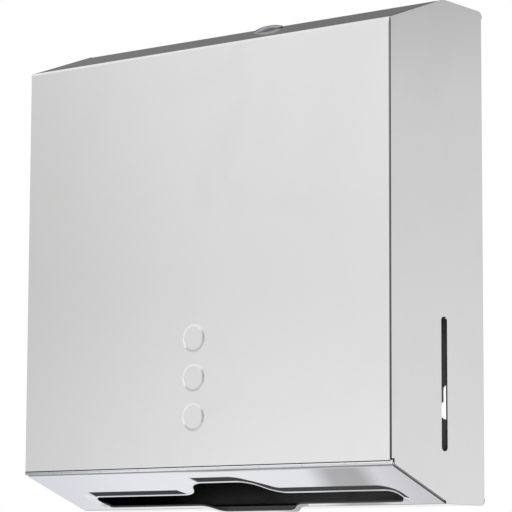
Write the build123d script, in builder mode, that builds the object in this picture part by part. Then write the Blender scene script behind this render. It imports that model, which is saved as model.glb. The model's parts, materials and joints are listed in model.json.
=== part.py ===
from build123d import *
import os
from math import atan2, cos, radians, sin, sqrt, tan

os.makedirs("parts", exist_ok=True)

# Wall-hung dispenser for folded paper towels, folded and welded from sheet steel.
# X runs to the right, Y from the front towards the wall and Z up.
# The origin lies on the wall, in the middle of the four keyholes and of the height.

# Cabinet
width = 280.0
height = 300.0
depth = 100.0
slope_depth = 57.0  # how far the top and bottom slopes run back from the front
slope_height = 21.0  # how far they rise or fall on the way
sheet = 1.0
bend_radius = 1.5  # outside radius of a plain bend
ridge_radius = 4.0  # bend between the bottom slope and the flat bottom
rear_radius = 4.0  # rear corners, top and bottom
flange = 12.0  # width of a return flange
top_lip = 7.0  # front edge of the top plate, turned down
back_fit = 0.2  # free space round the back plate
flange_fit = 0.5  # free space between two flanges in one plane

# Viewing slot in each side panel
slot_length = 80.0
slot_width = 5.0
slot_y = -42.5
slot_z = -79.5

# Keyholes in the back plate
keyhole_side_inset = 26.0  # from the sides of the cabinet to the entry holes
keyhole_end_inset = 58.0  # from the top and the bottom
keyhole_rise = 12.5  # from an entry hole up to the seat of its screw
keyhole_width = 5.0
keyhole_entry = 11.5

# Towel opening, seen from below, with distances back from the front
opening_length = 232.0
opening_front = 38.6
opening_rear = 53.0
bulge_front = 21.3
bulge_rear = 60.5
bulge_flat = 26.0  # straight middle of the front bulge
bulge_front_foot = 82.0  # width across the feet of the front bulge
bulge_rear_flat = 46.0
bulge_rear_foot = 80.0
opening_end_radius = 6.0
dish_front_width = 10.0  # the pressed dish along the front and the ends of the opening
dish_side_width = 5.0
dish_rear_inset = 1.0  # the dish stops this far in front of the rear edge
dish_depth = 1.2
hem_width = 1.0  # folded hem along the edge of the opening
hem_proud = 0.4  # how far the hem stands out of the dish
hem_rear = 5.0  # the hem ends this far in front of the rear edge
lip_width = 3.0  # pressed lip round the rear bulge
lip_drop = 2.0  # how far it reaches below the flat bottom
tray_round = 0.4  # long edges of the tray, under the side panels

# Front cover
seam = 0.7  # from the cover and the tray to the edges of the side panels
flange_gap = 0.9  # from the side flanges of the cover to the side panels
ridge_gap = 1.0  # seam between the cover and the top plate
shoulder_radius = 2.0  # bend between the front and the top slope
cover_flange = 14.0
flange_relief = 2.0  # the side flanges stop this far above the lower edge
cover_lip = 4.0
cover_round = 0.4  # long edges of the cover, over the side panels
emboss_diameter = 17.0
emboss_height = 0.4
emboss_taper = 75.0  # the rim leans this far from upright
emboss_pitch = 23.8
emboss_x = -3.5
emboss_middle_z = -73.5

# Hinge along the lower front edge
barrel_radius = 1.25
pin_radius = 0.6
pin_fit = 0.05
knuckle_count = 9
knuckle_gap = 0.15
barrel_gap = 0.3  # from the barrel to the sheets that swing past it
leaf_sheet = 0.6
leaf_height = 12.0
leaf_inset = 5.0  # from the side flanges of the cover to the ends of the leaves
upstand_height = 13.0  # front edge of the tray, turned up behind the hinge
upstand_inset = 5.0  # from the side panels to the ends of that edge
hinge_drop = 1.05  # from the corner of the side panels up to the hinge axis
rivet_count = 4
rivet_radius = 1.6
rivet_tail_radius = 2.6
rivet_tail_height = 0.8

# Cam lock in the top slope
lock_x = 18.0
lock_back = 45.0  # back from the front, measured level
head_radius = 9.2
head_edge = 0.6
head_height = 2.6
lock_barrel_radius = 6.0
lock_length = 14.0
lock_hole_fit = 0.1
thread_fit = 0.05
plug_radius = 4.2
plug_fit = 0.05
plug_sunk = 0.1
plug_overrun = 0.3  # how far the plug stands out behind the barrel
key_slot = (6.2, 1.4)
key_depth = 8.0
washer_radius = 8.0
washer_sheet = 0.6
nut_width = 15.0
nut_height = 4.0
cam_sheet = 2.0
cam_hub_radius = 7.0
cam_square = 5.0
cam_fit = 0.05
hook_inner = 21.5
hook_outer = 27.5
arm_angle = -35.0  # direction of the cam's arm when unlocked, from X
arm_spread = 20.0
hook_spread = 55.0
screw_radius = 1.5
screw_depth = 6.0
screw_head_radius = 3.2
screw_head_height = 1.8
cam_washer_radius = 4.4
cam_washer_sheet = 0.8

# Strike that the cam hooks behind
strike_width = 10.0
strike_sheet = 1.5
strike_reach = 17.5  # from the lock axis, along the slope
strike_foot = 14.0
strike_overlap = 2.5  # below the cam

# Places worked out from the sizes above
front_y = -depth
ridge_y = front_y + slope_depth
half_height = height / 2
shoulder_z = half_height - slope_height
inner_half = width / 2 - sheet
slope_angle = atan2(slope_height, slope_depth)
back_half = inner_half - (bend_radius - sheet) - back_fit
hinge_y = front_y + barrel_radius
hinge_z = -shoulder_z + hinge_drop
cover_half = width / 2
flange_half = inner_half - flange_gap
cover_bottom_z = hinge_z + barrel_radius + barrel_gap
cover_top_y = ridge_y - ridge_gap
overhang_top_z = shoulder_z - shoulder_radius - seam  # the front lies over the side panels up to here
tray_front_y = hinge_y + barrel_radius + barrel_gap
hinge_half = cover_half
leaf_half = flange_half - leaf_inset
knuckle_length = 2 * hinge_half / knuckle_count
leaf_bottom_z = cover_bottom_z
rivet_z = leaf_bottom_z + leaf_height / 2
rivet_pitch = 2 * leaf_half / rivet_count


def top_slope_z(y):
    return shoulder_z + (y - front_y) * slope_height / slope_depth


def bottom_slope_z(y):
    return -top_slope_z(y)


def slope_level(y, rise):
    """Height of the bottom slope's plane at y, moved inwards by rise."""
    return bottom_slope_z(y) + rise / cos(slope_angle)


def export(part, name):
    part.label = name
    export_step(part, f"parts/{name}.step")


# Side panels with their rear flange and viewing slot, set back behind the cover and above the tray
seat = sheet + seam
bend_height = height - 2 * rear_radius
notch_y = tray_front_y + seat
notch_z = cover_bottom_z + seam
side_outline = [
    (notch_y, slope_level(notch_y, seat)),
    (notch_y, notch_z),
    (front_y + seat, notch_z),
    (front_y + seat, overhang_top_z + seam),
    (front_y, overhang_top_z + seam),
    (front_y, shoulder_z),
    (ridge_y, half_height),
    (0, half_height),
    (0, -bend_height / 2),
    (-seat, -bend_height / 2),
    (-rear_radius, -half_height + seat),
    (ridge_y + seat * tan(slope_angle / 2), -half_height + seat),
]
for side, name in ((-1, "left_side_panel"), (1, "right_side_panel")):
    with BuildPart() as side_panel:
        with BuildSketch(Plane.YZ.offset(side * inner_half)) as outline:
            Polygon(*side_outline, align=None)
            fillet(outline.vertices().group_by(Axis.X)[-1].sort_by(Axis.Y)[-1], radius=rear_radius)
            fillet(outline.vertices().group_by(Axis.X)[0].sort_by(Axis.Y)[-1], radius=shoulder_radius)
            with Locations((slot_y, slot_z)):
                SlotOverall(slot_length, slot_width, rotation=90, mode=Mode.SUBTRACT)
        extrude(amount=side * sheet)
        with Locations((side * inner_half, 0, 0)):
            Box(4 * sheet, 2 * bend_radius, bend_height, mode=Mode.SUBTRACT)
        with BuildSketch(Plane.XY.offset(-bend_height / 2)):
            with BuildLine():
                FilletPolyline(
                    (side * width / 2, -2 * bend_radius),
                    (side * width / 2, 0),
                    (side * (inner_half - flange), 0),
                    radius=bend_radius,
                )
                offset(amount=sheet, side=Side.LEFT if side > 0 else Side.RIGHT)
            make_face()
        extrude(amount=bend_height)
    export(side_panel.part, name)

# Back plate with four keyholes
with BuildPart() as back_plate:
    with BuildSketch(Plane.XZ.offset(sheet)):
        Rectangle(2 * back_half, height - 2 * (rear_radius + back_fit))
        with GridLocations(width - 2 * keyhole_side_inset, height - 2 * keyhole_end_inset, 2, 2):
            Circle(keyhole_entry / 2, mode=Mode.SUBTRACT)
            with Locations((0, keyhole_rise / 2)):
                SlotCenterToCenter(keyhole_rise, keyhole_width, rotation=90, mode=Mode.SUBTRACT)
    extrude(amount=sheet)
export(back_plate.part, "back_plate")

# Flat top with a lip at the ridge, side flanges and a rear flange
with BuildPart() as top_plate:
    with BuildSketch(Plane.YZ):
        with BuildLine():
            FilletPolyline(
                (ridge_y, half_height - top_lip),
                (ridge_y, half_height),
                (0, half_height),
                (0, half_height - flange),
                radius=[bend_radius, rear_radius],
            )
            offset(amount=sheet, side=Side.RIGHT)
        make_face()
    extrude(amount=inner_half, both=True)
    for side in (-1, 1):
        with BuildSketch(Plane.YZ.offset(side * inner_half)):
            Polygon(
                (ridge_y + bend_radius, half_height - sheet),
                (ridge_y + bend_radius, half_height - flange),
                (-rear_radius, half_height - flange),
                (-rear_radius, half_height - sheet),
                align=None,
            )
        extrude(amount=-side * sheet)
        with Locations((side * (inner_half - flange / 2), 0, half_height - flange)):
            Box(flange + 2 * flange_fit, 2 * sheet, 2 * (flange - rear_radius), mode=Mode.SUBTRACT)
export(top_plate.part, "top_plate")


def bulge_flank(start, end):
    middle = ((start[0] + end[0]) / 2, (start[1] + end[1]) / 2)
    run = 1 if end[0] > start[0] else -1
    first = TangentArc(start, middle, tangent=(run, 0))
    TangentArc(middle, end, tangent=first % 1)


def opening_lines(front, rear, half_length, front_bulge, corner):
    """Half of an outline with one bulge at the front and a straight rear edge."""
    flat = bulge_flat / 2
    foot = bulge_front_foot / 2
    Line((0, front_bulge), (flat, front_bulge))
    bulge_flank((flat, front_bulge), (foot, front))
    Line((foot, front), (half_length - corner, front))
    TangentArc((half_length - corner, front), (half_length, front + corner), tangent=(1, 0))
    Line((half_length, front + corner), (half_length, rear - opening_end_radius))
    TangentArc(
        (half_length, rear - opening_end_radius),
        (half_length - opening_end_radius, rear),
        tangent=(0, 1),
    )


def tray_level(y, rise):
    """Height of the tray's outside at y, moved inwards by rise."""
    return max(slope_level(y, rise), -half_height + rise)


# Folded hem along the edge of the towel opening
half_opening = opening_length / 2
plan = Plane((0, front_y, -height))
with BuildSketch(plan) as opening:
    with BuildLine():
        opening_lines(opening_front, opening_rear, half_opening, bulge_front, opening_end_radius)
        Line((half_opening - opening_end_radius, opening_rear), (bulge_rear_foot / 2, opening_rear))
        bulge_flank((bulge_rear_foot / 2, opening_rear), (bulge_rear_flat / 2, bulge_rear))
        Line((bulge_rear_flat / 2, bulge_rear), (0, bulge_rear))
        mirror(about=Plane.YZ)
    make_face()

hem_low = dish_depth - hem_proud
hem_high = dish_depth + sheet
hem_front_y = front_y + bulge_front - 2 * hem_width
hem_rear_y = front_y + opening_rear - hem_rear
with BuildPart() as hem:
    with BuildSketch(plan):
        add(opening.sketch_local)
        offset(amount=hem_width, mode=Mode.REPLACE)
        add(opening.sketch_local, mode=Mode.SUBTRACT)
    extrude(amount=height)
    with BuildSketch(Plane.YZ.offset(-half_opening - 2 * hem_width)):
        Polygon(
            (hem_front_y, slope_level(hem_front_y, hem_low)),
            (hem_rear_y, slope_level(hem_rear_y, hem_low)),
            (hem_rear_y, slope_level(hem_rear_y, hem_high)),
            (hem_front_y, slope_level(hem_front_y, hem_high)),
            align=None,
        )
    extrude(amount=opening_length + 4 * hem_width, mode=Mode.INTERSECT)


def rear_lip(grow, rise):
    """Block round the rear bulge, from the lip up to the inside of the flat bottom."""
    with BuildPart() as block:
        with BuildSketch(plan):
            with BuildLine():
                Line((0, opening_rear), (bulge_rear_foot / 2, opening_rear))
                bulge_flank((bulge_rear_foot / 2, opening_rear), (bulge_rear_flat / 2, bulge_rear))
                Line((bulge_rear_flat / 2, bulge_rear), (0, bulge_rear))
                mirror(about=Plane.YZ)
            make_face()
            offset(amount=grow)
        extrude(amount=height)
        start_y = front_y + opening_rear
        start_z = slope_level(start_y, rise)
        fall = start_z + half_height + lip_drop - rise
        run = bulge_rear - opening_rear
        end_y = start_y + 2 * run
        with BuildSketch(Plane.YZ.offset(-bulge_rear_foot)):
            Polygon(
                (start_y, start_z),
                (end_y, start_z - 2 * fall),
                (end_y, -half_height + sheet + rise),
                (ridge_y, -half_height + sheet + rise),
                (start_y, slope_level(start_y, sheet + rise)),
                align=None,
            )
        extrude(amount=2 * bulge_rear_foot, mode=Mode.INTERSECT)
    return block.part


def on_tray_side(edge):
    """True for the long lower edges of the tray, under the side panels."""
    centre = edge.center()
    beside = abs(abs(centre.X) - width / 2) < sheet / 10
    behind = tray_front_y + bend_radius < centre.Y < -rear_radius
    return beside and behind and centre.Z - tray_level(centre.Y, 0) < sheet / 3


# Towel tray: bottom slope and flat bottom in one sheet, with the pressed opening
slope_plane = Plane(
    origin=(0, front_y, -shoulder_z),
    x_dir=(1, 0, 0),
    z_dir=(0, sin(slope_angle), cos(slope_angle)),
)
along = 1 / cos(slope_angle)
inset = hem_width / 2
dish_rear = (opening_rear - dish_rear_inset) * along
dish_floor_rear = dish_rear - dish_depth
dish_half = half_opening + dish_side_width
with BuildPart() as towel_tray:
    with BuildSketch(Plane.YZ):
        with BuildLine():
            FilletPolyline(
                (tray_front_y, leaf_bottom_z + upstand_height),
                (tray_front_y, bottom_slope_z(tray_front_y)),
                (ridge_y, -half_height),
                (0, -half_height),
                (0, -half_height + flange),
                radius=[bend_radius, ridge_radius, rear_radius],
            )
            offset(amount=sheet, side=Side.LEFT)
        make_face()
    extrude(amount=width / 2, both=True)
    for side in (-1, 1):
        with Locations((side * inner_half, tray_front_y, hinge_z + upstand_height)):
            Box(2 * upstand_inset, 4 * sheet, 2 * upstand_height, mode=Mode.SUBTRACT)
        with Locations((side * width / 2, 0, -half_height + flange)):
            Box(2 * (flange + sheet + flange_fit), 2 * sheet, 2 * (flange - rear_radius), mode=Mode.SUBTRACT)
        with BuildSketch(Plane.YZ.offset(side * inner_half)):
            Polygon(
                (tray_front_y + sheet, tray_level(tray_front_y + sheet, sheet / 2)),
                (tray_front_y + sheet, hinge_z),
                (-rear_radius, hinge_z),
                (-rear_radius, -half_height + sheet / 2),
                (ridge_y, -half_height + sheet / 2),
                align=None,
            )
        extrude(amount=-side * sheet)
    fillet(towel_tray.edges().filter_by(on_tray_side), radius=tray_round)
    for level, mode in ((sheet, Mode.ADD), (0, Mode.SUBTRACT)):
        with BuildSketch(slope_plane.offset(level)):
            with BuildLine():
                opening_lines(
                    (opening_front - dish_front_width) * along,
                    dish_rear,
                    dish_half,
                    (bulge_front - dish_front_width) * along,
                    2 * opening_end_radius,
                )
                Line((dish_half - opening_end_radius, dish_rear), (0, dish_rear))
                mirror(about=Plane.YZ)
            make_face()
        with BuildSketch(slope_plane.offset(level + dish_depth)):
            with BuildLine():
                opening_lines(
                    (opening_front + inset) * along,
                    dish_floor_rear,
                    half_opening - inset,
                    (bulge_front + inset) * along,
                    opening_end_radius / 2,
                )
                Line((half_opening - inset - opening_end_radius, dish_floor_rear), (0, dish_floor_rear))
                mirror(about=Plane.YZ)
            make_face()
        loft(ruled=True, mode=mode)
    add(rear_lip(lip_width, 0))
    add(rear_lip(lip_width - sheet, sheet), mode=Mode.SUBTRACT)
    add(hem.part)
    with BuildSketch(plan):
        add(opening.sketch_local)
    extrude(amount=height, mode=Mode.SUBTRACT)
    with BuildSketch(Plane.XZ.offset(-tray_front_y)):
        with Locations((0, rivet_z)):
            with GridLocations(rivet_pitch, 0, rivet_count, 1):
                Circle(rivet_radius)
    extrude(amount=-sheet, mode=Mode.SUBTRACT)
export(towel_tray.part, "towel_tray")

# Lock axis, square to the top slope
lock_y = front_y + lock_back
lock_point = (lock_x, lock_y, top_slope_z(lock_y))
lock_normal = (0, -sin(slope_angle), cos(slope_angle))
lock_plane = Plane(origin=lock_point, x_dir=(1, 0, 0), z_dir=lock_normal)
lock_section = Plane(origin=lock_point, x_dir=(1, 0, 0), z_dir=(0, -cos(slope_angle), -sin(slope_angle)))
lock_axis = Axis(lock_point, lock_normal)


def on_cover_side(edge):
    """True for the long outer edges of the cover, over the side panels."""
    centre = edge.center()
    beside = abs(abs(centre.X) - cover_half) < sheet / 10
    return beside and centre.Y - front_y < sheet / 3


# Front cover: front and top slope in one sheet, with side flanges and round embosses
cover_top_z = top_slope_z(cover_top_y)
flange_rise = cover_flange / cos(slope_angle)
with BuildPart() as front_cover:
    with BuildSketch(Plane.YZ):
        with BuildLine():
            FilletPolyline(
                (front_y, cover_bottom_z),
                (front_y, shoulder_z),
                (cover_top_y, cover_top_z),
                (cover_top_y, cover_top_z - cover_lip),
                radius=[shoulder_radius, bend_radius],
            )
            offset(amount=sheet, side=Side.RIGHT)
        make_face()
    extrude(amount=cover_half, both=True)
    for side in (-1, 1):
        with Locations((side * cover_half, front_y, overhang_top_z + half_height)):
            Box(2 * (cover_half - flange_half), 2 * depth, height, mode=Mode.SUBTRACT)
        with BuildSketch(Plane.YZ.offset(side * flange_half)):
            Polygon(
                (front_y + sheet / 2, cover_bottom_z + flange_relief),
                (front_y + sheet / 2, shoulder_z - sheet / 2),
                (cover_top_y - sheet, cover_top_z - sheet),
                (cover_top_y - sheet, cover_top_z - flange_rise),
                (front_y + cover_flange, top_slope_z(front_y + cover_flange) - flange_rise),
                (front_y + cover_flange, cover_bottom_z + flange_relief),
                align=None,
            )
        extrude(amount=-side * sheet)
    emboss_centres = [(emboss_x, emboss_middle_z + step * emboss_pitch) for step in (-1, 0, 1)]
    with BuildSketch(Plane.XZ.offset(depth)):
        with Locations(*emboss_centres):
            Circle(emboss_diameter / 2)
    extrude(amount=emboss_height, taper=emboss_taper)
    with BuildSketch(Plane.XZ.offset(depth - sheet)):
        with Locations(*emboss_centres):
            Circle(emboss_diameter / 2 - sheet)
    extrude(amount=emboss_height, mode=Mode.SUBTRACT)
    with BuildSketch(lock_plane):
        Circle(lock_barrel_radius + lock_hole_fit)
    extrude(amount=-3 * sheet, mode=Mode.SUBTRACT)
    fillet(front_cover.edges().filter_by(on_cover_side), radius=cover_round)
export(front_cover.part, "front_cover")

# Hinge leaves with interleaved knuckles, and their pin
first_knuckle = -hinge_half + knuckle_length / 2
for parity, name, leaf_y in (
    (0, "hinge_body_leaf", tray_front_y - leaf_sheet),
    (1, "hinge_cover_leaf", front_y + sheet),
):
    with BuildPart() as leaf:
        with Locations((0, leaf_y + leaf_sheet / 2, rivet_z)):
            Box(2 * leaf_half, leaf_sheet, leaf_height)
        for index in range(parity, knuckle_count, 2):
            knuckle_x = first_knuckle + index * knuckle_length
            knuckle_start = Plane.YZ.offset(knuckle_x - (knuckle_length - knuckle_gap) / 2)
            with BuildSketch(knuckle_start):
                with Locations((hinge_y, hinge_z)):
                    Circle(barrel_radius)
                Polygon(
                    (leaf_y, hinge_z),
                    (leaf_y + leaf_sheet, hinge_z),
                    (leaf_y + leaf_sheet, leaf_bottom_z),
                    (leaf_y, leaf_bottom_z),
                    align=None,
                )
                with Locations((hinge_y, hinge_z)):
                    Circle(pin_radius + pin_fit, mode=Mode.SUBTRACT)
            extrude(amount=knuckle_length - knuckle_gap)
        if parity == 0:
            with BuildSketch(Plane.XZ.offset(-leaf_y)):
                with Locations((0, rivet_z)):
                    with GridLocations(rivet_pitch, 0, rivet_count, 1):
                        Circle(rivet_radius)
            extrude(amount=-leaf_sheet, mode=Mode.SUBTRACT)
    export(leaf.part, name)

with BuildPart() as hinge_pin:
    with BuildSketch(Plane.YZ.offset(-hinge_half)):
        with Locations((hinge_y, hinge_z)):
            Circle(pin_radius)
    extrude(amount=2 * hinge_half)
export(hinge_pin.part, "hinge_pin")

# Cam lock: housing with a domed head, washer and nut
dome_radius = (head_radius**2 + (head_height - head_edge) ** 2) / (2 * (head_height - head_edge))


def dome_level(radius):
    return head_height - dome_radius + sqrt(dome_radius**2 - radius**2)


plug_hole = plug_radius + plug_fit
with BuildPart() as lock_housing:
    with BuildSketch(lock_section):
        with BuildLine():
            middle = (plug_hole + head_radius) / 2
            Polyline(
                (plug_hole, dome_level(plug_hole)),
                (plug_hole, -lock_length),
                (lock_barrel_radius, -lock_length),
                (lock_barrel_radius, 0),
                (head_radius, 0),
                (head_radius, head_edge),
            )
            ThreePointArc(
                (head_radius, head_edge),
                (middle, dome_level(middle)),
                (plug_hole, dome_level(plug_hole)),
            )
        make_face()
    revolve(axis=lock_axis)
export(lock_housing.part, "lock_housing")

with BuildPart() as lock_washer:
    with BuildSketch(lock_plane.offset(-sheet - washer_sheet)):
        Circle(washer_radius)
        Circle(lock_barrel_radius + lock_hole_fit, mode=Mode.SUBTRACT)
    extrude(amount=washer_sheet)
export(lock_washer.part, "lock_washer")

with BuildPart() as lock_nut:
    with BuildSketch(lock_plane.offset(-sheet - washer_sheet - nut_height)):
        RegularPolygon(nut_width / 2, 6, major_radius=False)
        Circle(lock_barrel_radius + thread_fit, mode=Mode.SUBTRACT)
    extrude(amount=nut_height)
export(lock_nut.part, "lock_nut")

# Lock plug with its key slot and a square end for the cam
plug_top = dome_level(plug_hole) - plug_sunk
cam_top = -lock_length - plug_overrun
cam_bottom = cam_top - cam_sheet
with BuildPart() as lock_plug:
    with BuildSketch(lock_plane.offset(cam_top)):
        Circle(plug_radius)
    extrude(amount=plug_top - cam_top)
    with BuildSketch(lock_plane.offset(cam_bottom)):
        Rectangle(cam_square, cam_square)
    extrude(amount=cam_sheet)
    with BuildSketch(lock_plane.offset(plug_top)):
        Rectangle(*key_slot)
    extrude(amount=-key_depth, mode=Mode.SUBTRACT)
    with BuildSketch(lock_plane.offset(cam_bottom)):
        Circle(screw_radius)
    extrude(amount=screw_depth, mode=Mode.SUBTRACT)
export(lock_plug.part, "lock_plug")


def polar(radius, angle):
    return (radius * cos(radians(angle)), radius * sin(radians(angle)))


# Hook cam, turned behind the strike by a quarter turn
arm_end = arm_angle + hook_spread
with BuildPart() as lock_cam:
    with BuildSketch(lock_plane.offset(cam_bottom)):
        Circle(cam_hub_radius)
        for inner, start, stop in (
            (0, arm_angle - arm_spread / 2, arm_angle + arm_spread / 2),
            (hook_inner, arm_angle, arm_end),
        ):
            with BuildLine():
                half_way = (start + stop) / 2
                Line(polar(inner, start), polar(hook_outer, start))
                ThreePointArc(polar(hook_outer, start), polar(hook_outer, half_way), polar(hook_outer, stop))
                Line(polar(hook_outer, stop), polar(inner, stop))
                if inner > 0:
                    ThreePointArc(polar(inner, stop), polar(inner, half_way), polar(inner, start))
            make_face()
        Rectangle(cam_square + 2 * cam_fit, cam_square + 2 * cam_fit, mode=Mode.SUBTRACT)
    extrude(amount=cam_sheet)
export(lock_cam.part, "lock_cam")

with BuildPart() as cam_washer:
    with BuildSketch(lock_plane.offset(cam_bottom - cam_washer_sheet)):
        Circle(cam_washer_radius)
        Circle(screw_radius + thread_fit, mode=Mode.SUBTRACT)
    extrude(amount=cam_washer_sheet)
export(cam_washer.part, "cam_washer")

screw_seat = cam_bottom - cam_washer_sheet
with BuildPart() as cam_screw:
    with BuildSketch(lock_plane.offset(screw_seat - screw_head_height)):
        Circle(screw_head_radius)
    extrude(amount=screw_head_height)
    chamfer(cam_screw.edges().sort_by(lock_axis)[0], length=screw_head_height / 2)
    with BuildSketch(lock_plane.offset(screw_seat)):
        Circle(screw_radius - thread_fit)
    extrude(amount=screw_depth + cam_washer_sheet - plug_overrun)
export(cam_screw.part, "cam_screw")

# Strike under the top plate, in the way of the hook
cam_middle = (cam_top + cam_bottom) / 2
strike_y = lock_y + strike_reach * cos(slope_angle) - cam_middle * sin(slope_angle)
strike_bottom_z = (
    lock_point[2] + strike_reach * sin(slope_angle) + cam_bottom * cos(slope_angle) - strike_overlap
)
with BuildPart() as lock_strike:
    with BuildSketch(Plane.YZ.offset(lock_x - strike_width / 2)):
        with BuildLine():
            FilletPolyline(
                (strike_y - strike_sheet / 2, strike_bottom_z),
                (strike_y - strike_sheet / 2, half_height - sheet),
                (strike_y + strike_foot, half_height - sheet),
                radius=strike_sheet + bend_radius / 3,
            )
            offset(amount=strike_sheet, side=Side.RIGHT)
        make_face()
    extrude(amount=strike_width)
export(lock_strike.part, "lock_strike")

# Flush rivets that hold the hinge to the tray, with their tails inside
with BuildPart() as hinge_rivets:
    with BuildSketch(Plane.XZ.offset(-(tray_front_y + sheet))):
        with Locations((0, rivet_z)):
            with GridLocations(rivet_pitch, 0, rivet_count, 1):
                Circle(rivet_radius - thread_fit)
    extrude(amount=sheet + leaf_sheet)
    with BuildSketch(Plane.XZ.offset(-(tray_front_y + sheet))):
        with Locations((0, rivet_z)):
            with GridLocations(rivet_pitch, 0, rivet_count, 1):
                Circle(rivet_tail_radius)
    extrude(amount=-rivet_tail_height)
export(hinge_rivets.part, "hinge_rivets")
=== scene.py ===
import json
from math import cos, radians, sin, sqrt, tan

import bmesh
import bpy
from mathutils import Matrix, Vector


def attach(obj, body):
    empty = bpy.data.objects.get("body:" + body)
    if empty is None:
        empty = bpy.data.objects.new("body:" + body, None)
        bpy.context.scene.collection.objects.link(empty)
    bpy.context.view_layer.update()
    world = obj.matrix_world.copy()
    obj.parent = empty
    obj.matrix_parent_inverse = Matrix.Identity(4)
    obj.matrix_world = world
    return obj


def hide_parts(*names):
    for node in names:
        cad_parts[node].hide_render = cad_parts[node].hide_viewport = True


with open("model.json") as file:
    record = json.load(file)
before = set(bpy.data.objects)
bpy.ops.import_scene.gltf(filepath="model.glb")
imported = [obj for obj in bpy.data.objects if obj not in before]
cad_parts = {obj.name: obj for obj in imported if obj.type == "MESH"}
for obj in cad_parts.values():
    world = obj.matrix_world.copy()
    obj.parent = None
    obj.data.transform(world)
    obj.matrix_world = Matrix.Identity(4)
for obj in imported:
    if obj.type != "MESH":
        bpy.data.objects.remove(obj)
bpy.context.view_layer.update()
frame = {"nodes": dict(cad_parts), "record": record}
cadNodes = frame["nodes"]
scene = bpy.context.scene
scene.view_settings.view_transform = "Standard"
print("frame loaded:", len(cadNodes), "CAD nodes")

# Camera, low and to the right of the dispenser, looking up a little
shot = {
    "lens": 175.27,
    "sensor": 36,
    "place": (0.94093, -1.26375, -0.19596),
    "yaw": 37.63,
    "pitch": 7.47,
    "roll": 0.25,
}


def aimCamera():
    yaw, pitch, roll = (radians(shot[key]) for key in ("yaw", "pitch", "roll"))
    ahead = Vector((-sin(yaw) * cos(pitch), cos(yaw) * cos(pitch), sin(pitch)))
    level = Vector((cos(yaw), sin(yaw), 0))
    over = level.cross(ahead)
    right = cos(roll) * level + sin(roll) * over
    up = cos(roll) * over - sin(roll) * level
    camera = bpy.data.objects.new("shotCamera", bpy.data.cameras.new("shotCamera"))
    camera.data.lens = shot["lens"]
    camera.data.sensor_width = shot["sensor"]
    turn = Matrix((right, up, -ahead)).transposed().to_4x4()
    camera.matrix_world = Matrix.Translation(shot["place"]) @ turn
    scene.collection.objects.link(camera)
    scene.camera = camera


aimCamera()
print("camera set")


def addNode(tree, kind, place=(0, 0), **settings):
    node = tree.nodes.new(kind)
    node.location = place
    for key, value in settings.items():
        setattr(node, key, value)
    return node


def mapRange(tree, value, reach, ends=(0, 1), place=(0, 0), shape="LINEAR"):
    node = addNode(tree, "ShaderNodeMapRange", place, interpolation_type=shape)
    node.inputs["From Min"].default_value, node.inputs["From Max"].default_value = reach
    node.inputs["To Min"].default_value, node.inputs["To Max"].default_value = ends
    tree.links.new(value, node.inputs["Value"])
    return node.outputs["Result"]


def mixColours(tree, factor, first, second, place=(0, 0), kind="MIX"):
    node = addNode(tree, "ShaderNodeMix", place, data_type="RGBA", blend_type=kind)
    for name, given in (("Factor", factor), ("A", first), ("B", second)):
        if isinstance(given, bpy.types.NodeSocket):
            tree.links.new(given, node.inputs[name])
        else:
            node.inputs[name].default_value = (*given, 1) if isinstance(given, tuple) else given
    return node.outputs["Result"]


def multiply(tree, first, second, place=(0, 0)):
    return mixColours(tree, 1, first, second, place, "MULTIPLY")


def fillRamp(ramp, stops):
    marks = ramp.color_ramp.elements
    while len(marks) < len(stops):
        marks.new(0.5)
    for mark, (place, tone) in zip(marks, stops):
        mark.position = place
        mark.color = (*tone, 1) if isinstance(tone, tuple) else (tone, tone, tone, 1)


# Studio round the dispenser, as polished sheet shows it: bright in front and overhead, dim low at the back
studio = {
    "frontReach": (-1.0, 0.0),
    "frontStops": [
        (0.07, 1.0),
        (0.22, 0.95),
        (0.305, 0.66),
        (0.375, 0.89),
        (0.45, 0.935),
        (0.62, 0.90),
        (0.85, 0.50),
    ],
    "heightReach": (0.0, 0.26),
    "heightStops": [(0.0, 0.95), (0.15, 1.0), (0.45, 0.3), (0.75, 0.6), (1.0, 0.8)],
    "heightShare": (0.90, 1.08),
    "backStops": [
        (0.0, 0.95),
        (0.5, 0.90),
        (0.525, 0.85),
        (0.60, 0.73),
        (0.655, 0.20),
        (0.755, 0.10),
        (0.80, 0.85),
        (0.86, 1.0),
    ],
    "overhead": (0.26, 0.46),
    "behind": (-0.3, 0.4),
    "zenith": (0.80, 0.92),
    "zenithTone": (0.16, 0.16, 0.16),
}


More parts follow.
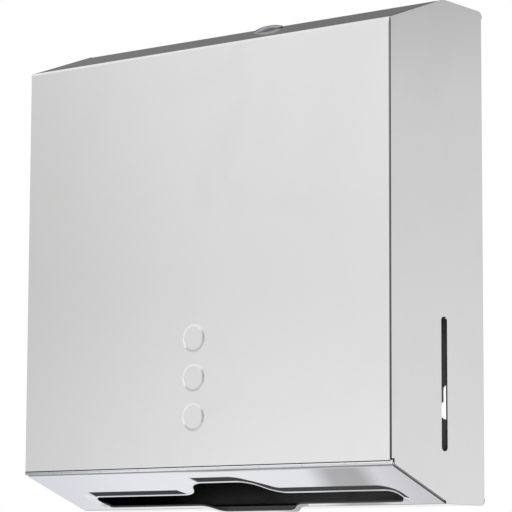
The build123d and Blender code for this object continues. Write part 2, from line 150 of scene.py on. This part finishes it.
def lightStudio():
    world = bpy.data.worlds.new("studio")
    scene.world = world
    world.use_nodes = True
    tree = world.node_tree
    tree.nodes.clear()
    link = tree.links.new
    aim = addNode(tree, "ShaderNodeTexCoord", (-1400, 0))
    parts = addNode(tree, "ShaderNodeSeparateXYZ", (-1200, 0))
    link(aim.outputs["Generated"], parts.inputs[0])

    def graded(axis, name, reach, row):
        ramp = addNode(tree, "ShaderNodeValToRGB", (-700, row))
        fillRamp(ramp, studio[name])
        link(mapRange(tree, parts.outputs[axis], reach, (0, 1), (-1000, row)), ramp.inputs["Fac"])
        return ramp.outputs["Color"]

    def towards(axis, name, first, second, row):
        share = mapRange(tree, parts.outputs[axis], studio[name], (0, 1), (-1000, row), "SMOOTHSTEP")
        return mixColours(tree, share, first, second, (-400, row))

    white = (1, 1, 1)
    front = graded("X", "frontStops", studio["frontReach"], 300)
    back = graded("Z", "backStops", (-1, 1), 0)
    heights = graded("Z", "heightStops", studio["heightReach"], 600)
    share = mapRange(tree, heights, (0, 1), studio["heightShare"], (-500, 600))
    banded = multiply(tree, front, share, (-300, 600))
    above = towards("Z", "overhead", banded, white, -300)
    around = towards("Y", "behind", above, back, -600)
    tone = towards("Z", "zenith", around, studio["zenithTone"], -900)
    rays = addNode(tree, "ShaderNodeLightPath", (-300, 400))
    glow = addNode(tree, "ShaderNodeBackground", (200, 0))
    link(mixColours(tree, rays.outputs["Is Camera Ray"], tone, white, (0, 200)), glow.inputs["Color"])
    out = addNode(tree, "ShaderNodeOutputWorld", (400, 0))
    link(glow.outputs[0], out.inputs["Surface"])


lightStudio()

# Soft lamps, and a faint one inside for the light that the towel opening lets in
lamps = {
    "overhead": {"place": (-0.3, -0.9, 1.7), "size": (1.2, 1.2), "power": 14},
    "sideFill": {"place": (1.9, 0.2, 1.1), "size": (0.8, 0.8), "power": 4},
    "insideFill": {
        "place": (0.06, -0.07, -0.075),
        "aim": (0.11, 0, -0.08),
        "size": (0.04, 0.09),
        "power": 0.001,
        "mirrored": True,
    },
}


def hangLamps():
    for name, lamp in lamps.items():
        light = bpy.data.lights.new(name, "AREA")
        light.shape = "RECTANGLE"
        light.size, light.size_y = lamp["size"]
        light.energy = lamp["power"]
        holder = bpy.data.objects.new(name, light)
        holder.location = lamp["place"]
        holder.visible_camera = False
        holder.visible_glossy = lamp.get("mirrored", False)  # the outside mirrors the studio alone
        backwards = Vector(lamp["place"]) - Vector(lamp.get("aim", (0, 0, 0)))
        holder.rotation_euler = backwards.to_track_quat("Z", "Y").to_euler()
        scene.collection.objects.link(holder)


hangLamps()


def placePiece(name, mesh, body=None):
    piece = bpy.data.objects.new(name, mesh)
    scene.collection.objects.link(piece)
    if body:
        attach(piece, body)
    return piece


def plainMesh(name, bm, body=None, smooth=True):
    mesh = bpy.data.meshes.new(name)
    bm.to_mesh(mesh)
    bm.free()
    for face in mesh.polygons:
        face.use_smooth = smooth
    return placePiece(name, mesh, body)


# Pale floor, well below the opened cover and clear from underneath
# Polished metal mirrors its tinted strips and the dim patch beyond them
ground = {
    "level": -0.52,
    "reach": 3.0,
    "squares": 8,
    "tone": (0.92, 0.92, 0.925),
    "rough": 0.7,
    "cloud": {"size": 3, "reach": (0.3, 0.7), "share": 0.98},
    "stripReach": (-0.66, -0.20),
    "strips": [
        (0.00, (0.80, 0.82, 0.88)),
        (0.08, (0.82, 0.84, 0.89)),
        (0.27, (0.92, 0.94, 0.985)),
        (0.45, (0.95, 0.96, 0.985)),
        (0.69, (0.91, 0.92, 0.95)),
        (0.745, (0.50, 0.50, 0.51)),
        (0.81, (0.48, 0.48, 0.48)),
        (0.85, (0.80, 0.80, 0.83)),
        (0.92, (0.70, 0.70, 0.73)),
    ],
    "farEdge": {"reach": (0.50, 0.53), "end": (0.95, 1.25), "beside": (-0.36, -0.30), "share": 0.07},
    "nearEdge": {"reach": (-0.9, -0.4), "share": 0.79},
}


def layFloor():
    squares, mist = ground["squares"], ground["cloud"]
    bm = bmesh.new()
    bmesh.ops.create_grid(bm, x_segments=squares, y_segments=squares, size=ground["reach"])
    bmesh.ops.translate(bm, verts=bm.verts, vec=(0, 0, ground["level"]))
    floor = plainMesh("floor", bm)
    paint = bpy.data.materials.new("floorPaint")
    paint.use_nodes = True
    tree = paint.node_tree
    link = tree.links.new
    shade = tree.nodes["Principled BSDF"]
    shade.inputs["Roughness"].default_value = ground["rough"]
    place = addNode(tree, "ShaderNodeTexCoord", (-1200, 0))
    cloud = addNode(tree, "ShaderNodeTexNoise", (-600, 0))
    cloud.inputs["Scale"].default_value = mist["size"]
    link(place.outputs["Object"], cloud.inputs["Vector"])
    ramp = addNode(tree, "ShaderNodeValToRGB", (-400, 0))
    faint = tuple(mist["share"] * part for part in ground["tone"])
    fillRamp(ramp, list(zip(mist["reach"], (faint, ground["tone"]))))
    link(cloud.outputs["Fac"], ramp.inputs["Fac"])
    link(ramp.outputs["Color"], shade.inputs["Base Color"])
    parts = addNode(tree, "ShaderNodeSeparateXYZ", (-1000, -300))
    link(place.outputs["Object"], parts.inputs[0])
    along = mapRange(tree, parts.outputs["X"], ground["stripReach"], (0, 1), (-800, -300))
    strips = addNode(tree, "ShaderNodeValToRGB", (-600, -300))
    fillRamp(strips, ground["strips"])
    link(along, strips.inputs["Fac"])
    mirrored = strips.outputs["Color"]

    def share(axis, reach, ends, row):
        return mapRange(tree, parts.outputs[axis], reach, ends, (-800, row), "SMOOTHSTEP")

    far, near = ground["farEdge"], ground["nearEdge"]
    lit = share("Y", far["reach"], (1, far["share"]), -600)
    for row, (axis, reach) in enumerate((("X", far["beside"]), ("Y", far["end"]))):
        most = addNode(tree, "ShaderNodeMath", (-600, -600 - 250 * row), operation="MAXIMUM")
        link(lit, most.inputs[0])
        link(share(axis, reach, (far["share"], 1), -850 - 250 * row), most.inputs[1])
        lit = most.outputs[0]
    for row, tone in enumerate((lit, share("Y", near["reach"], (near["share"], 1), -1350))):
        mirrored = multiply(tree, mirrored, tone, (-400, -400 - 250 * row))
    glow = addNode(tree, "ShaderNodeEmission", (-200, -400))
    link(mirrored, glow.inputs["Color"])
    rays = addNode(tree, "ShaderNodeLightPath", (-200, 500))
    both = addNode(tree, "ShaderNodeMixShader", (400, 0))
    link(rays.outputs["Is Glossy Ray"], both.inputs["Fac"])
    link(shade.outputs[0], both.inputs[1])
    link(glow.outputs[0], both.inputs[2])
    sides = addNode(tree, "ShaderNodeNewGeometry", (200, 400))
    clear = addNode(tree, "ShaderNodeBsdfTransparent", (400, -200))
    through = addNode(tree, "ShaderNodeMixShader", (600, 0))
    link(sides.outputs["Backfacing"], through.inputs["Fac"])
    link(both.outputs[0], through.inputs[1])
    link(clear.outputs[0], through.inputs[2])
    tree.nodes["Material Output"].location = (800, 0)
    link(through.outputs[0], tree.nodes["Material Output"].inputs["Surface"])
    floor.data.materials.append(paint)


layFloor()
print("studio lit")


# Marks that every metal shares: drawn grain, hairlines and handling smudges
wearMarks = {
    "grain": {"Detail": 5, "Roughness": 0.65},
    "hairline": {"Detail": 2, "Distortion": 0.4},
    "hairlineSize": 0.31,
    "hairlineReach": (0.66, 0.74),
    "smudge": {"Detail": 6, "Roughness": 0.55, "Distortion": 0.8},
    "smudgeReach": (0.45, 0.75),
    "smudgeWear": 0.6,
    "wearReach": (0.3, 1.2),
    "reliefDepth": 0.00003,
}


def makeSheetMarks():
    group = bpy.data.node_groups.new("sheetMarks", "ShaderNodeTree")
    inputs = {
        "Place": "NodeSocketVector",
        "Grain": "NodeSocketVector",
        "Fineness": "NodeSocketFloat",
        "Smudge Size": "NodeSocketFloat",
    }
    for name, kind in inputs.items():
        group.interface.new_socket(name=name, in_out="INPUT", socket_type=kind)
    for name in ("Grain", "Hairlines", "Smudges"):
        group.interface.new_socket(name=name, in_out="OUTPUT", socket_type="NodeSocketFloat")
    given = addNode(group, "NodeGroupInput", (-900, 0))
    taken = addNode(group, "NodeGroupOutput", (500, 0))
    link = group.links.new

    def noise(name, where, scale, row):
        node = addNode(group, "ShaderNodeTexNoise", (-500, row))
        for key, value in wearMarks[name].items():
            node.inputs[key].default_value = value
        link(given.outputs[where], node.inputs["Vector"])
        link(scale, node.inputs["Scale"])
        return node.outputs["Fac"]

    link(noise("grain", "Grain", given.outputs["Fineness"], 250), taken.inputs["Grain"])
    coarse = addNode(group, "ShaderNodeMath", (-700, 0), operation="MULTIPLY")
    coarse.inputs[1].default_value = wearMarks["hairlineSize"]
    link(given.outputs["Fineness"], coarse.inputs[0])
    line = noise("hairline", "Grain", coarse.outputs[0], 0)
    thin = mapRange(group, line, wearMarks["hairlineReach"], (0, 1), (-250, 0), "SMOOTHSTEP")
    link(thin, taken.inputs["Hairlines"])
    smudge = noise("smudge", "Place", given.outputs["Smudge Size"], -250)
    soft = mapRange(group, smudge, wearMarks["smudgeReach"], (0, 1), (-250, -250), "SMOOTHSTEP")
    link(soft, taken.inputs["Smudges"])
    return group


sheetMarks = makeSheetMarks()

# Painted shade: the inner faces are darkened low down, near the towel opening
dust = {"axis": "Z", "reach": (-0.132, -0.106), "share": 0.16}

# Painted reflection: the hinge is darkened towards its left end
paintedHingeReflection = {"axis": "X", "reach": (-0.16, -0.02), "share": 0.45}

# Painted shade on the sheared edges in front of the ridge, darkest low down
cutEdge = {
    "beyond": 0.1394,
    "facing": 0.5,
    "ahead": -0.0425,
    "under": 0.2,
    "reach": (-0.13, 0.11),
    "low": (0.08, 0.08, 0.08),
    "high": (0.34, 0.34, 0.34),
}

# Finishes, by the record's material slots
finishes = {
    "polished_steel": {
        "tone": (0.80, 0.80, 0.805),
        "dull": (0.785, 0.783, 0.78),
        "rough": (0.085, 0.13),
        "grain": (1, 1, 0.02),
        "fineness": 900,
        "smudge": 14,
        "bump": 0.03,
        "inside": {"tone": (0.60, 0.60, 0.605), "rough": 0.40},
        "dust": dust,
    },
    "inner_steel": {
        "tone": (0.62, 0.62, 0.625),
        "dull": (0.57, 0.57, 0.57),
        "rough": (0.34, 0.5),
        "grain": (0.03, 1, 1),
        "fineness": 700,
        "smudge": 20,
        "bump": 0.12,
        "dust": dust,
    },
    "hinge_steel": {
        "tone": (0.93, 0.93, 0.94),
        "dull": (0.86, 0.855, 0.85),
        "rough": (0.18, 0.32),
        "grain": (0.03, 1, 1),
        "fineness": 1500,
        "smudge": 40,
        "bump": 0.12,
        "paintedHingeReflection": paintedHingeReflection,
    },
    "rivet_alloy": {
        "tone": (0.70, 0.705, 0.71),
        "dull": (0.58, 0.58, 0.58),
        "rough": (0.28, 0.45),
        "grain": (1, 1, 1),
        "fineness": 2500,
        "smudge": 120,
        "bump": 0.15,
    },
    "lock_chrome": {
        "tone": (0.30, 0.30, 0.325),
        "dull": (0.24, 0.24, 0.26),
        "rough": (0.14, 0.24),
        "grain": (1, 1, 1),
        "fineness": 2200,
        "smudge": 90,
        "bump": 0.06,
    },
    "lock_zinc": {
        "tone": (0.56, 0.565, 0.57),
        "dull": (0.44, 0.44, 0.43),
        "rough": (0.32, 0.5),
        "grain": (1, 1, 1),
        "fineness": 1800,
        "smudge": 110,
        "bump": 0.2,
    },
    "key_plug": {
        "tone": (0.66, 0.63, 0.55),
        "dull": (0.52, 0.49, 0.42),
        "rough": (0.22, 0.38),
        "grain": (1, 0.15, 1),
        "fineness": 2500,
        "smudge": 140,
        "bump": 0.1,
    },
}

# Cover and tray also get painted shade on their cut edges and a painted line of shade along the hinge gap
finishes["coverSteel"] = {
    **finishes["polished_steel"],
    "cutEdge": cutEdge,
    "hingeGap": {"from": ("Z", -0.12682), "tone": (0.07, 0.07, 0.07)},
}
finishes["traySteel"] = {
    **finishes["polished_steel"],
    "rough": (0.025, 0.05),
    "cutEdge": {**cutEdge, "under": -0.1292},
    "hingeGap": {"from": ("Y", -0.0969), "tone": (0.35, 0.35, 0.355)},
}
nodeFinishes = {"front_cover": "coverSteel", "towel_tray": "traySteel"}

# The sheet is polished outside only: its inner faces look towards the middle of the cabinet
cabinetMiddle = (0, -0.05, 0)


def facesInward(tree, place):
    outward = addNode(tree, "ShaderNodeVectorMath", (-1000, 500), operation="SUBTRACT")
    outward.inputs[1].default_value = cabinetMiddle
    link = tree.links.new
    link(place.outputs["Object"], outward.inputs[0])
    along = addNode(tree, "ShaderNodeVectorMath", (-800, 500), operation="DOT_PRODUCT")
    link(outward.outputs["Vector"], along.inputs[0])
    link(place.outputs["Normal"], along.inputs[1])
    inward = addNode(tree, "ShaderNodeMath", (-600, 500), operation="LESS_THAN")
    inward.inputs[1].default_value = 0
    link(along.outputs["Value"], inward.inputs[0])
    return inward.outputs[0]


# Painted darkening along one axis, used for painted shade and a painted reflection
def darken(tree, place, paintedDarkening, tint):
    parts = addNode(tree, "ShaderNodeSeparateXYZ", (-800, 900))
    tree.links.new(place.outputs["Object"], parts.inputs[0])
    ends = (paintedDarkening["share"], 1)
    share = mapRange(tree, parts.outputs[paintedDarkening["axis"]], paintedDarkening["reach"], ends, (-600, 900), "SMOOTHSTEP")
    return multiply(tree, tint, share, (-350, 700))


def darkenEdges(tree, place, look, tint):
    link = tree.links.new
    edge, gap = look["cutEdge"], look["hingeGap"]

    def test(source, axis, limit, kind, row):
        parts = addNode(tree, "ShaderNodeSeparateXYZ", (-1000, row))
        link(place.outputs[source], parts.inputs[0])
        value = parts.outputs[axis]
        if axis == "X":  # left and right alike
            size = addNode(tree, "ShaderNodeMath", (-800, row), operation="ABSOLUTE")
            link(value, size.inputs[0])
            value = size.outputs[0]
        found = addNode(tree, "ShaderNodeMath", (-600, row), operation=kind)
        found.inputs[1].default_value = limit
        link(value, found.inputs[0])
        return found.outputs[0]

    cut = test("Object", "X", edge["beyond"], "GREATER_THAN", 1200)
    limits = (
        ("Normal", "X", edge["facing"], "GREATER_THAN"),
        ("Object", "Y", edge["ahead"], "LESS_THAN"),
        ("Object", "Z", edge["under"], "LESS_THAN"),
    )
    for row, limit in enumerate(limits):
        both = addNode(tree, "ShaderNodeMath", (-400, 1300 + 200 * row), operation="MULTIPLY")
        link(cut, both.inputs[0])
        link(test(*limit, 1400 + 200 * row), both.inputs[1])
        cut = both.outputs[0]
    # Painted shade on the cut edges, darker low down
    heights = addNode(tree, "ShaderNodeSeparateXYZ", (-500, 1000))
    link(place.outputs["Object"], heights.inputs[0])
    high = mapRange(tree, heights.outputs["Z"], edge["reach"], (0, 1), (-350, 1000))
    edgeShade = mixColours(tree, high, edge["low"], edge["high"], (-200, 1000))
    tint = mixColours(tree, cut, tint, edgeShade, (-50, 400))
    # Painted shade along the hinge gap
    beside = test("Object", *gap["from"], "LESS_THAN", 2000)
    return mixColours(tree, beside, tint, gap["tone"], (100, 400))


def makeFinish(name, look):
    paint = bpy.data.materials.new(name)
    paint.use_nodes = True
    tree = paint.node_tree
    link = tree.links.new
    shade = tree.nodes["Principled BSDF"]
    shade.inputs["Metallic"].default_value = 1
    place = addNode(tree, "ShaderNodeTexCoord", (-1200, 0))
    drawn = addNode(tree, "ShaderNodeMapping", (-1000, -200))
    drawn.inputs["Scale"].default_value = look["grain"]
    link(place.outputs["Object"], drawn.inputs["Vector"])
    sheet = addNode(tree, "ShaderNodeGroup", (-780, 0), node_tree=sheetMarks)
    sheet.inputs["Fineness"].default_value = look["fineness"]
    sheet.inputs["Smudge Size"].default_value = look["smudge"]
    link(place.outputs["Object"], sheet.inputs["Place"])
    link(drawn.outputs["Vector"], sheet.inputs["Grain"])
    tint = mixColours(tree, sheet.outputs["Smudges"], look["tone"], look["dull"], (-500, 250))
    wear = addNode(tree, "ShaderNodeMath", (-500, 0), operation="MULTIPLY_ADD")
    wear.inputs[1].default_value = wearMarks["smudgeWear"]
    link(sheet.outputs["Smudges"], wear.inputs[0])
    link(sheet.outputs["Grain"], wear.inputs[2])
    gloss = mapRange(tree, wear.outputs[0], wearMarks["wearReach"], look["rough"], (-300, 0))
    # Painted shade on the inner faces, darker low down near the towel opening
    if "dust" in look:
        inward = facesInward(tree, place)
        inside = look.get("inside")
        lowShaded = darken(tree, place, look["dust"], inside["tone"] if inside else tint)
        tint = mixColours(tree, inward, tint, lowShaded, (-200, 450))
        if inside:
            matt = addNode(tree, "ShaderNodeMix", (-150, 0))
            matt.inputs["B"].default_value = inside["rough"]
            link(inward, matt.inputs["Factor"])
            link(gloss, matt.inputs["A"])
            gloss = matt.outputs["Result"]
    # Painted reflection: the hinge is darker towards its left end
    if "paintedHingeReflection" in look:
        tint = darken(tree, place, look["paintedHingeReflection"], tint)
    # Painted shade on the cut edges and along the hinge gap
    if "cutEdge" in look:
        tint = darkenEdges(tree, place, look, tint)
    link(tint, shade.inputs["Base Color"])
    link(gloss, shade.inputs["Roughness"])
    relief = addNode(tree, "ShaderNodeMath", (-500, -250), operation="SUBTRACT")
    link(sheet.outputs["Grain"], relief.inputs[0])
    link(sheet.outputs["Hairlines"], relief.inputs[1])
    bump = addNode(tree, "ShaderNodeBump", (-300, -250))
    bump.inputs["Strength"].default_value = look["bump"]
    bump.inputs["Distance"].default_value = wearMarks["reliefDepth"]
    link(relief.outputs[0], bump.inputs["Height"])
    link(bump.outputs["Normal"], shade.inputs["Normal"])
    return paint


paints = {name: makeFinish(name, look) for name, look in finishes.items()}
for part in frame["record"]["subparts"]:
    skin = cadNodes[part["node"]].data.materials
    skin.clear()
    skin.append(paints[nodeFinishes.get(part["node"], part["material_slot"])])
print("finishes made:", len(paints))

# Closed solid with a side profile, from one X to another
def profileSolid(points, start, end):
    bm = bmesh.new()
    corners = [bm.verts.new((start, y, z)) for y, z in points]
    face = bm.faces.new(corners)
    grown = bmesh.ops.extrude_face_region(bm, geom=[face])["geom"]
    moved = [item for item in grown if isinstance(item, bmesh.types.BMVert)]
    bmesh.ops.translate(bm, verts=moved, vec=(end - start, 0, 0))
    bmesh.ops.recalc_face_normals(bm, faces=bm.faces)
    return bm


def arcPoints(middle, radius, first, last, steps):
    turns = [radians(first + (last - first) * step / steps) for step in range(steps + 1)]
    return [(middle[0] + radius * cos(turn), middle[1] + radius * sin(turn)) for turn in turns]


def finishPiece(piece, paint, angle=30):
    piece.data.materials.append(paints[paint])
    piece.data.set_sharp_from_angle(angle=radians(angle))


mergeGap = 0.000002  # points of a copied CAD mesh closer than this are one


# Copy of a CAD mesh, merged, with its shading kept
def copyNode(node, name):
    mesh = cadNodes[node].data.copy()
    mesh.name = name
    normals = [corner.vector.copy() for corner in mesh.corner_normals]
    bm = bmesh.new()
    bm.from_mesh(mesh)
    bmesh.ops.remove_doubles(bm, verts=bm.verts, dist=mergeGap)
    bm.to_mesh(mesh)
    bm.free()
    mesh.normals_split_custom_set(normals)
    return mesh


# Cover's shoulder, carried out over the side panels' front edges
shoulder = {
    "front": -0.1,
    "foot": 0.1263,
    "corner": 0.129,
    "radius": 0.002,
    "sheet": 0.001,
    "slope": 20.225,
    "reach": (0.1381, 0.14),
    "steps": 8,
}


def makeShoulderEnds():
    front, foot = shoulder["front"], shoulder["foot"]
    radius, sheet = shoulder["radius"], shoulder["sheet"]
    near, far = shoulder["reach"]
    bend = 90 - shoulder["slope"]
    middle = (front + radius, shoulder["corner"] - radius * tan(radians(bend) / 2))
    outer = arcPoints(middle, radius, 180, 180 - bend, shoulder["steps"])
    inner = arcPoints(middle, radius - sheet, 180 - bend, 180, shoulder["steps"])
    points = [(front, foot)] + outer + inner + [(front + sheet, foot)]
    for side, name in ((-1, "leftShoulderEnd"), (1, "rightShoulderEnd")):
        bm = profileSolid(points, side * near, side * far)
        finishPiece(plainMesh(name, bm, "cover"), "coverSteel")


makeShoulderEnds()

# Cover as in the frame, with its lower edge drawn down to a thin lip over the hinge
lip = {"inner": -0.099, "outer": -0.1, "foot": -0.12638, "drop": 0.00095}


def makeCover():
    mesh = copyNode("front_cover", "coverPressing")
    for corner in mesh.vertices:
        if corner.co.z < lip["foot"]:
            part = (corner.co.y - lip["inner"]) / (lip["outer"] - lip["inner"])
            corner.co.z -= lip["drop"] * min(max(part, 0), 1)
    piece = placePiece("coverPressing", mesh, "cover")
    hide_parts("front_cover")


makeCover()

# Side panels as in the frame, with a wider viewing slot
# The tooth above the cover's edge is drawn back behind the shoulder
panels = {
    "front": -0.0983,
    "slot": {
        "middle": (-0.0425, -0.0795),
        "half": (0.0026, 0.0401),
        "widen": 1.25,
        "shift": -0.0013,
        "top": 0.001,
    },
}


def makeSidePanels():
    slot = panels["slot"]
    middle, half = slot["middle"], slot["half"]
    for node, name in (("left_side_panel", "leftPanel"), ("right_side_panel", "rightPanel")):
        bm = bmesh.new()
        bm.from_mesh(cadNodes[node].data)
        for corner in bm.verts:
            y, z = corner.co.yz
            corner.co.y = max(y, panels["front"])
            if abs(y - middle[0]) < half[0] and abs(z - middle[1]) < half[1]:
                corner.co.y = middle[0] + slot["shift"] + slot["widen"] * (y - middle[0])
                corner.co.z = z - slot["top"] * (z > middle[1])
        bmesh.ops.remove_doubles(bm, verts=bm.verts, dist=mergeGap)
        bmesh.ops.dissolve_degenerate(bm, edges=bm.edges, dist=mergeGap)
        bmesh.ops.recalc_face_normals(bm, faces=bm.faces)
        panel = plainMesh(name, bm, "cabinet", False)
        panel.data.attributes.remove(panel.data.attributes["custom_normal"])
        panel.data.materials.append(paints["polished_steel"])
        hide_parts(node)


makeSidePanels()

# Towel tray as in the frame, with the dish round the opening pressed wider at the flanks of its bulge
tray = {
    "corner": (-0.1, -0.129),
    "slope": 20.225,
    "near": 0.00003,  # points this close to the slope lie on it
    "flank": (0.020, 0.0405),
    "rows": (-0.0855, -0.0714),
    "push": {-1: 0.0025, 1: 0.004},
    "full": -0.076,
    "foot": 0.0034,
}


def ease(value, start, end):
    part = min(max((value - start) / (end - start), 0), 1)
    return part * part * (3 - 2 * part)


def makeTray():
    mesh = copyNode("towel_tray", "trayPressing")
    fall = tan(radians(tray["slope"]))
    frontY, frontZ = tray["corner"]
    inner, outer = tray["flank"]
    first, last = tray["rows"]
    for corner in mesh.vertices:
        x, y, z = corner.co
        onSlope = abs(z - frontZ + (y - frontY) * fall) < tray["near"]
        if onSlope and inner < abs(x) < outer and first < y < last:
            side = 1 if x > 0 else -1
            part = ease(y, first, tray["full"]) * sqrt(min((last - y) / tray["foot"], 1))
            corner.co.x = x + side * part * tray["push"][side]
    piece = placePiece("trayPressing", mesh, "cabinet")
    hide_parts("towel_tray")


makeTray()

# Weld beads that close the seam between tray and side panels along the flat bottom and round the rear bend
beads = {
    "reach": (0.1390, 0.1399),
    "ridge": -0.0425,
    "bend": (-0.004, -0.146),
    "radius": 0.00302,
    "steps": 8,
    "panelFoot": -0.14828,
    "panelRear": -0.00168,
}


def makeBeads():
    y, z = beads["bend"]
    ridge, foot = beads["ridge"], beads["panelFoot"]
    near, far = beads["reach"]
    arc = arcPoints((y, z), beads["radius"], 0, -90, beads["steps"])
    points = [(beads["panelRear"], z)] + arc + [(ridge, arc[-1][1]), (ridge, foot), (y, foot)]
    for side, name in ((-1, "leftBead"), (1, "rightBead")):
        bm = profileSolid(points, side * near, side * far)
        finishPiece(plainMesh(name, bm, "cabinet"), "polished_steel")


makeBeads()
print("shoulder ends, cover, side panels, tray and weld beads made")

bpy.context.view_layer.update()
